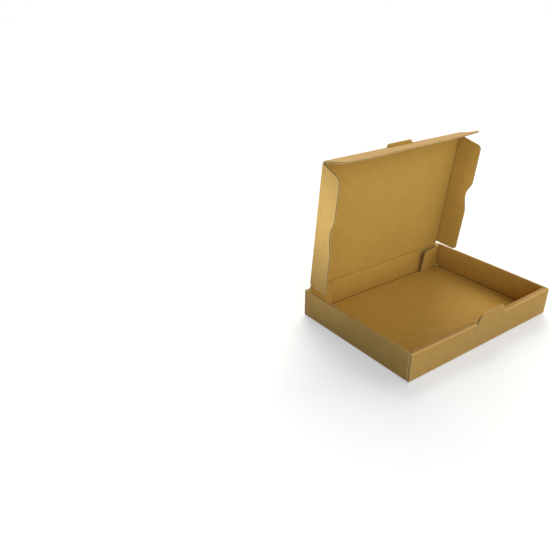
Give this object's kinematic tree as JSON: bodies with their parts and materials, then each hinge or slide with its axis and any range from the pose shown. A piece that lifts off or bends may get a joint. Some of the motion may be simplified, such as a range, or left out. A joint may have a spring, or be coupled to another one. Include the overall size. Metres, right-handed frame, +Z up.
{
  "type": "letter mailer box",
  "caption": "Shallow kraft mailer of fluted board: tray with a double front wall and lock tab, rear-hinged lid with side ears and a tuck flap, shown open.",
  "frame": {"origin": "middle of the tray's footprint, on the surface that it stands on", "axes": "+X to the right along the front wall, +Y from the front wall to the hinge, +Z up"},
  "size_m": [0.163, 0.1152, 0.1359],
  "materials": {
    "kraft_board": "plain brown kraft liner, unprinted, with open flutes at the cut edges"
  },
  "bodies": {
    "tray": {"tray": "kraft_board"},
    "lid": {"lid": "kraft_board"},
    "left_ear": {"lid_left_ear": "kraft_board"},
    "right_ear": {"lid_right_ear": "kraft_board"},
    "tuck_flap": {"lid_tuck_flap": "kraft_board"}
  },
  "joints": [
    {"name": "lid_hinge", "type": "hinge", "parent": "tray", "child": "lid", "pos_m": [0, 0.05685, 0.0242], "axis": [-1, 0, 0], "range_deg": [-84.5, 95.5]},
    {"name": "left_ear_fold", "type": "hinge", "parent": "lid", "child": "left_ear", "pos_m": [-0.0765, 0.05685, 0.0242], "axis": [0, -0.0958, 0.9954], "range_deg": [-84, 16]},
    {"name": "right_ear_fold", "type": "hinge", "parent": "lid", "child": "right_ear", "pos_m": [0.0765, 0.05685, 0.0242], "axis": [0, 0.0958, -0.9954], "range_deg": [-84, 16]},
    {"name": "tuck_flap_fold", "type": "hinge", "parent": "lid", "child": "tuck_flap", "pos_m": [0, 0.04655, 0.13121], "axis": [1, 0, 0], "range_deg": [-25, 22.1]}
  ],
  "couplings": [
    {"joint": "tuck_flap_fold", "follows": "lid_hinge", "ratio": -0.26}
  ]
}
